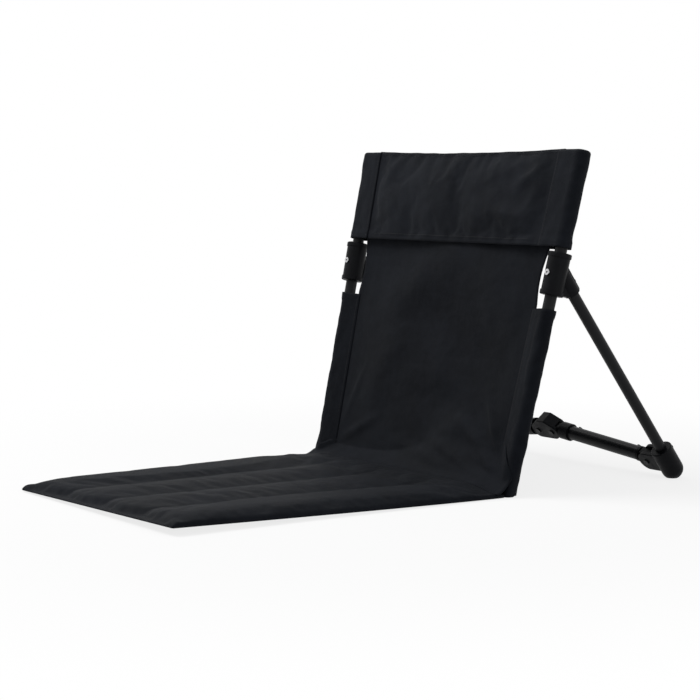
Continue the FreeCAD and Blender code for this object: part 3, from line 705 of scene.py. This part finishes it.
# Headrest pocket: a flat bag sewn from a front and a back with an end lapped over them round each
# upright, and drawn down over the tops of the tubes. Its cloth is the back's cloth coloured paler as
# painted light.
POCKET_HIGH = 0.4530
POCKET_DIP = 0.0035
POCKET_DOME = 0.0045
POCKET_RADIUS = 0.0112
POCKET_CAP = 0.84
POCKET_SQUARE = 0.32
POCKET_HALF_MIDDLE = 0.0058
POCKET_HALF_SEAM = 0.0086
POCKET_HALF_CURVE = 2.2
POCKET_PUFF = 0.0045
POCKET_LAP = 0.006
POCKET_LAP_RISE = 0.0012
POCKET_LAP_SHARE = 0.8
POCKET_HEM = 0.010
POCKET_HEM_THICK = 0.0008
POCKET_MOUTH = 0.0030
POCKET_MOUTH_RISE = 0.12
POCKET_LOOSE = (0.010, 0.042)
POCKET_RIDGE_LOOSE = 1.5
POCKET_BACK_SWELL = 0.6
POCKET_WAVE_SCALE = 17.0
POCKET_WAVE_HEIGHT = 0.0022
POCKET_WRINKLE_SCALE = 48.0
POCKET_WRINKLE_HEIGHT = 0.0009
CREST_SCALE = 30.0
CREST_HEIGHT = 0.0012
CREST_SPAN = (0.85, 1.60)
RIDGE_HEIGHT = 0.0012
RIDGE_SPAN = (1.80, 1.99)
FLAT_RISE = 0.12
FLAT_BACK = 0.30
END_GRID = (48, 52)
END_PUCKER_SCALE = 45.0
END_PUCKER_SQUEEZE = 1.5
END_PUCKER_HEIGHT = 0.0011
END_SEAM_LOW = 0.002
END_SEAM_HIGH = 0.008
END_SEAM_INSET = -0.003
HEM_STITCH_INSET = 0.022
HEM_STITCH_DROP = 0.002
POCKET_COLUMNS = 100
POCKET_ROWS = 96
HELD_COLUMNS = 4
HELD_HEM_ROWS = 2
HELD_RIDGE_ROWS = 3
POCKET_PRESSURE = 1.2
POCKET_SLACK = 0.009
POCKET_SWELL_LIMIT = 0.005
# Painted light: paler copies of the cloth colours, standing in for the brighter light on the headrest.
POCKET_LIT_DARK = (0.0030, 0.0039, 0.0060, 1)
POCKET_LIT_PALE = (0.0078, 0.0092, 0.0128, 1)
SETTLE_STEPS = 20

# Folds of the pocket's front: start and end, across and up, width and height.
POCKET_FOLDS = (
    ((0.196, 0.449), (0.120, 0.395), 0.008, 0.0036),
    ((0.196, 0.450), (0.060, 0.420), 0.008, 0.0036),
    ((0.190, 0.450), (0.150, 0.350), 0.007, 0.0024),
    ((0.110, 0.452), (0.020, 0.395), 0.014, 0.0034),
    ((0.020, 0.452), (-0.060, 0.410), 0.014, 0.0032),
    ((-0.196, 0.449), (-0.110, 0.400), 0.010, 0.0034),
    ((-0.196, 0.447), (-0.155, 0.345), 0.008, 0.0032),
    ((-0.080, 0.440), (-0.020, 0.345), 0.030, 0.0034),
    ((0.100, 0.400), (0.030, 0.340), 0.022, 0.0030),
    ((0.175, 0.345), (0.070, 0.372), 0.012, 0.0032),
)


def pocket_rise(grow):
    """Height along the back, and how open the pocket is there, from hem at 0 to ridge at 1."""
    if grow < POCKET_CAP:
        return grow / POCKET_CAP, 1.0
    angle = (grow - POCKET_CAP) / (1.0 - POCKET_CAP) * math.pi / 2.0
    return 1.0 + math.sin(angle), math.cos(angle) ** POCKET_SQUARE


def pocket_up(side_share, rise):
    """Height of a point of the pocket along the back."""
    shoulder = POCKET_HIGH - POCKET_DIP * (1.0 - side_share ** 2) - POCKET_DOME
    if rise <= 1.0:
        return POCKET_LOW + rise * (shoulder - POCKET_LOW)
    return shoulder + (rise - 1.0) * POCKET_DOME


def pocket_half(side_share):
    """Half thickness of the pocket, from the middle at 0 to the seam at 1."""
    wider = POCKET_HALF_SEAM - POCKET_HALF_MIDDLE
    return POCKET_HALF_MIDDLE + wider * abs(side_share) ** POCKET_HALF_CURVE


def hem_rise(up):
    """Extra thickness of the turned-up hem."""
    hem = POCKET_LOW + POCKET_HEM
    return POCKET_HEM_THICK * (1.0 - smooth_step(up, hem, hem + HEM_STEP))


def pocket_point(share, along):
    """Place and flat place of a point of the pocket, from the front hem over the ridge to the back."""
    side_share = 2.0 * share - 1.0
    front = along < 0.5
    grow = 2.0 * along if front else 2.0 * (1.0 - along)
    rise, gap = pocket_rise(grow)
    up = pocket_up(side_share, rise)
    across = side_share * seam_at(up)
    middle = 1.0 - side_share ** 2
    from_seam = (1.0 - abs(side_share)) * seam_at(up)
    loose = smooth_step(from_seam, *POCKET_LOOSE) * min(gap * POCKET_RIDGE_LOOSE, 1.0)
    swell = POCKET_PUFF * math.sin(math.pi * min(rise, 1.0)) * math.sqrt(max(middle, 0.0))
    swell += POCKET_WAVE_HEIGHT * ripple(across, up, POCKET_WAVE_SCALE, seed=12.0 + along)
    swell += POCKET_WRINKLE_HEIGHT * ripple(across, up, POCKET_WRINKLE_SCALE, seed=15.0)
    swell += POCKET_MOUTH * (1.0 - smooth_step(rise, 0.0, POCKET_MOUTH_RISE))
    if front:
        for start, end, width, height in POCKET_FOLDS:
            swell += ridge(across, up, start, end, width, height)
    half = (pocket_half(side_share) + hem_rise(up)) * gap
    if front:
        out = -half - swell * loose
    else:
        out = half + POCKET_BACK_SWELL * swell * loose
    crest = CREST_HEIGHT * ripple(across, 0.0, CREST_SCALE, seed=21.0) * smooth_step(rise, *CREST_SPAN)
    crest += RIDGE_HEIGHT * smooth_step(rise, *RIDGE_SPAN)
    flat_up = rise * FLAT_RISE if front else FLAT_BACK - rise * FLAT_RISE
    return on_back(across, out, up + crest), (across, flat_up)


def pocket_end(side):
    """Place of the end of the pocket that wraps one upright."""
    straight = math.hypot(SEAM_IN + POCKET_LAP, POCKET_RADIUS - POCKET_HALF_SEAM)
    length = 2.0 * straight + math.pi * POCKET_RADIUS

    def place(share, along):
        rise, gap = pocket_rise(along)
        up = pocket_up(1.0, rise)
        run = share * length
        spine = 0.0
        if straight < run < length - straight:
            angle = (run - length / 2.0) / POCKET_RADIUS
            across = POCKET_RADIUS * math.cos(angle)
            out = POCKET_RADIUS * math.sin(angle)
        else:
            face = -1.0 if share < 0.5 else 1.0
            part = min(run, length - run) / straight
            across = (part - 1.0) * (SEAM_IN + POCKET_LAP)
            spine = across
            out = face * (POCKET_HALF_SEAM + part * (POCKET_RADIUS - POCKET_HALF_SEAM))
            out += face * POCKET_LAP_RISE * smooth_step(1.0 - part, 0.0, POCKET_LAP_SHARE)
        slack = (1.0 - abs(2.0 * share - 1.0) ** 4) * gap
        shifted = run * END_PUCKER_SQUEEZE + side
        pucker = END_PUCKER_HEIGHT * ripple(shifted, up, END_PUCKER_SCALE, seed=25.0) * slack
        swell = 1.0 + (pucker + hem_rise(up)) / POCKET_RADIUS
        across = spine + (across - spine) * gap * swell
        return on_back(side * (upright_at(up) + across), out * gap * swell, up), (run, up)
    return place


def settle(piece, sewn, pressure, slack, limit):
    """Lets a cloth swell and buckle by simulation, with its sewn points held and no point
    moved past the limit, and keeps the result."""
    before = [vert.co.copy() for vert in piece.data.vertices]
    held = piece.vertex_groups.new(name="sewn")
    held.add(sewn, 1.0, "REPLACE")
    swelling = piece.modifiers.new("swelling", "CLOTH")
    swelling.settings.vertex_group_mass = held.name
    swelling.settings.use_pressure = True
    swelling.settings.uniform_pressure_force = pressure
    swelling.settings.shrink_min = -slack
    swelling.settings.effector_weights.gravity = 0.0
    for step in range(1, SETTLE_STEPS + 1):
        scene.frame_set(step)
    swollen = piece.evaluated_get(bpy.context.evaluated_depsgraph_get())
    after = [vert.co.copy() for vert in swollen.data.vertices]
    piece.modifiers.remove(swelling)
    piece.vertex_groups.remove(held)
    scene.frame_set(1)
    for vert, old, new in zip(piece.data.vertices, before, after):
        shift = new - old
        if shift.length > limit:
            shift = shift * (limit / shift.length)
        vert.co = old + shift


# The same woven cloth with paler colours, painted light on the headrest and its ends.
lit_pocket_cloth = woven("polyester_painted_light", POCKET_LIT_DARK, POCKET_LIT_PALE)
pocket = new_piece("headrest_cloth", cut_cloth(POCKET_COLUMNS, POCKET_ROWS, pocket_point), lit_pocket_cloth)
sewn = []
for index in range(len(pocket.data.vertices)):
    row, column = divmod(index, POCKET_COLUMNS + 1)
    at_side = column < HELD_COLUMNS or column > POCKET_COLUMNS - HELD_COLUMNS
    at_hem = row < HELD_HEM_ROWS or row > POCKET_ROWS - HELD_HEM_ROWS
    at_ridge = abs(row - POCKET_ROWS // 2) < HELD_RIDGE_ROWS
    if at_side or at_hem or at_ridge:
        sewn.append(index)
settle(pocket, sewn, POCKET_PRESSURE, POCKET_SLACK, POCKET_SWELL_LIMIT)
thicken(pocket)

for name, side in SIDES.items():
    wrap = new_piece(name + "_pocket_end", cut_cloth(*END_GRID, pocket_end(side)), lit_pocket_cloth)
    thicken(wrap)
    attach(wrap, name + "_frame")
    seam = seam_path(side, POCKET_LOW + END_SEAM_LOW, POCKET_HIGH - END_SEAM_HIGH, END_SEAM_INSET)
    sew(name + "_pocket_stitches", name + "_frame", [(wrap, seam, BACKWARD), (wrap, seam, -BACKWARD)])

hem_half = seam_at(POCKET_LOW) - HEM_STITCH_INSET
hem_up = POCKET_LOW + POCKET_HEM - HEM_STITCH_DROP
hem = stitch_path(on_back(-hem_half, 0.0, hem_up), on_back(hem_half, 0.0, hem_up))
hem_stitches = sew("hem_stitches", "left_frame", [(pocket, hem, BACKWARD), (pocket, hem, -BACKWARD)])
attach(pocket, "left_frame")
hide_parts("headrest_pocket")
# Folded, the right frame has come in by the fold's travel, and the cloth still reaches
# under the laps of both ends.
for piece in (pocket, hem_stitches):
    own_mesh(piece)

# Seat pad: two cloths sewn together round four strips of foam that run from front to back,
# stitched down between them, boxed at the sides and front corners and hemmed flat in front.
PAD_LENGTH = 0.487
PAD_REAR_HALF = 0.217
PAD_FRONT_HALF = 0.193
PAD_FRONT_HEM = 0.009
PAD_CROWN = 0.0124
PAD_WALL = 0.0072
PAD_BOXED = (0.74, 0.98)
PAD_BOXED_PART = 0.85
PAD_ROLL = 0.040
PAD_HEM_THICK = 0.0030
PAD_VALLEY = 0.0094
PAD_SCALLOP = 0.012
PAD_CHANNELS = 4
PAD_END = 0.026
PAD_UNDER_TOE = 0.0160
PAD_END_CURVE = 2.2
PAD_CROWN_CURVE = (2.4, 0.62)
PAD_LIFT_NEAR = 0.0085
PAD_LIFT_FAR = 0.0010
PAD_LIFT_CURVE = 1.3
PAD_FLOOR_GAP = 0.0004
PAD_OVER_CREASE = 0.0002
PAD_SEWN_TO_CREASE = 0.004
PAD_HELD_REAR = 0.008
PAD_TOE_DROP = 0.003
PAD_STITCH_FRONT = 0.004
PAD_HEM_STITCH = 0.005
PAD_PRESSURE = 1.0
PAD_SLACK = 0.006
PAD_SWELL_LIMIT = 0.004
PAD_COLUMNS = 88
PAD_ROWS = 96
PAD_UNDER_PULL = 0.0026
PAD_FLAT_END = 0.055
PAD_FRONT = FOOT_OF_BACK - PAD_LENGTH
PAD_REAR = CREASE.y + PAD_UNDER_TOE


def pad_half(y):
    """Half width of the pad at a place from front to back."""
    share = (FOOT_OF_BACK - y) / PAD_LENGTH
    return PAD_REAR_HALF + (PAD_FRONT_HALF - PAD_REAR_HALF) * share


def pad_lift(side_share, y):
    """How far the springy pad stands off the floor, most at its near front corner."""
    share = min(max((CREASE.y - y) / (CREASE.y - PAD_FRONT), 0.0), 1.0)
    most = PAD_LIFT_FAR + (PAD_LIFT_NEAR - PAD_LIFT_FAR) * (side_share + 1.0) / 2.0
    return most * share ** PAD_LIFT_CURVE


def pad_under(side_share, y):
    """Height of the under cloth over its lowest: the seams between the channels pull it up."""
    channel = (side_share + 1.0) / 2.0 * PAD_CHANNELS
    if round(channel) in (0, PAD_CHANNELS):
        return 0.0
    from_line = abs(channel - round(channel)) * 2.0
    swollen = smooth_step(y, PAD_FRONT + PAD_FRONT_HEM, PAD_FRONT + PAD_FRONT_HEM + PAD_END)
    swollen *= 1.0 - smooth_step(y, CREASE.y - PAD_FLAT_END, CREASE.y)
    return PAD_UNDER_PULL * (1.0 - from_line) ** 2 * swollen


def pad_height(side_share, y):
    """Thickness of the pad before the foam swells it."""
    half = pad_half(y)
    channel = (side_share + 1.0) / 2.0 * PAD_CHANNELS
    from_line = abs(channel - round(channel)) * 2.0
    fullness, squareness = PAD_CROWN_CURVE
    crown = (1.0 - (1.0 - from_line) ** fullness) ** squareness
    valley = PAD_VALLEY
    if round(channel) in (0, PAD_CHANNELS):
        crown = smooth_step((1.0 - abs(side_share)) * half, -PAD_ROLL, PAD_ROLL) * 2.0 - 1.0
        valley = PAD_WALL
    scallop = PAD_SCALLOP * (1.0 - from_line) ** 2
    soft = 1.0 - PAD_BOXED_PART * smooth_step(abs(side_share), *PAD_BOXED)
    front = min(max((y - PAD_FRONT - (PAD_FRONT_HEM + scallop) * soft) / (PAD_END * soft), 0.0), 1.0)
    front_roll = math.sqrt(1.0 - (1.0 - front) ** PAD_END_CURVE)
    valley = PAD_HEM_THICK + (valley - PAD_HEM_THICK) * front_roll
    height = valley + (PAD_CROWN - valley) * crown * front_roll
    to_crease = smooth_step(y, CREASE.y - PAD_FLAT_END, CREASE.y - PAD_SEWN_TO_CREASE)
    height += (CREASE.z + PAD_OVER_CREASE - corner_drop(side_share) - height) * to_crease
    return height - PAD_TOE_DROP * smooth_step(y, CREASE.y, PAD_REAR)


cut = bmesh.new()
bmesh.ops.create_grid(cut, x_segments=PAD_COLUMNS, y_segments=PAD_ROWS, size=0.5)
upper = bmesh.ops.create_grid(cut, x_segments=PAD_COLUMNS, y_segments=PAD_ROWS, size=0.5)
top = set(upper["verts"])
flats = {}
sewn = []
for index, vert in enumerate(cut.verts):
    side_share = 2.0 * vert.co.x
    y = PAD_FRONT + (vert.co.y + 0.5) * (PAD_REAR - PAD_FRONT)
    z = PAD_FLOOR_GAP + pad_under(side_share, y)
    if vert in top:
        z = pad_height(side_share, y)
    column = round((side_share + 1.0) / 2.0 * PAD_COLUMNS)
    on_line = column % (PAD_COLUMNS // PAD_CHANNELS) == 0 and 0 < column < PAD_COLUMNS
    at_end = y < PAD_FRONT + PAD_FRONT_HEM or y > CREASE.y - PAD_HELD_REAR
    if vert not in top or on_line or at_end:
        sewn.append(index)
    vert.co = (side_share * pad_half(y), y, z + pad_lift(side_share, y))
    flats[vert] = (vert.co.x, y)
bmesh.ops.bridge_loops(cut, edges=[edge for edge in cut.edges if edge.is_boundary])
keep_flat(cut, flats)
pad = new_piece("seat_pad", cut, cloth)
settle(pad, sewn, PAD_PRESSURE, PAD_SLACK, PAD_SWELL_LIMIT)
smoothing = pad.modifiers.new("smoothing", "SUBSURF")
smoothing.levels = 1
smoothing.render_levels = 1
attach(pad, "seat")
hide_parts("seat_top_cloth", "seat_bottom_cloth", "seat_foam")

DOWN = Vector((0, 0, -1))


def on_pad(side_share, y):
    """Point of the floor under the pad."""
    return Vector((side_share * pad_half(y), y, 0.0))


lines = []
for channel in range(1, PAD_CHANNELS):
    side_share = 2.0 * channel / PAD_CHANNELS - 1.0
    front_end = on_pad(side_share, PAD_FRONT + PAD_STITCH_FRONT)
    seam = stitch_path(front_end, on_pad(side_share, CREASE.y - PAD_SEWN_TO_CREASE))
    lines.append((pad, seam, DOWN))
    lines.append((pad, seam, -DOWN))
hem_y = PAD_FRONT + PAD_HEM_STITCH
hem = stitch_path(on_pad(-PAD_BOXED[0], hem_y), on_pad(PAD_BOXED[0], hem_y))
lines.append((pad, hem, DOWN))
pad_stitches = sew("pad_stitches", "seat", lines)
for piece in (pad, pad_stitches):
    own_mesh(piece)
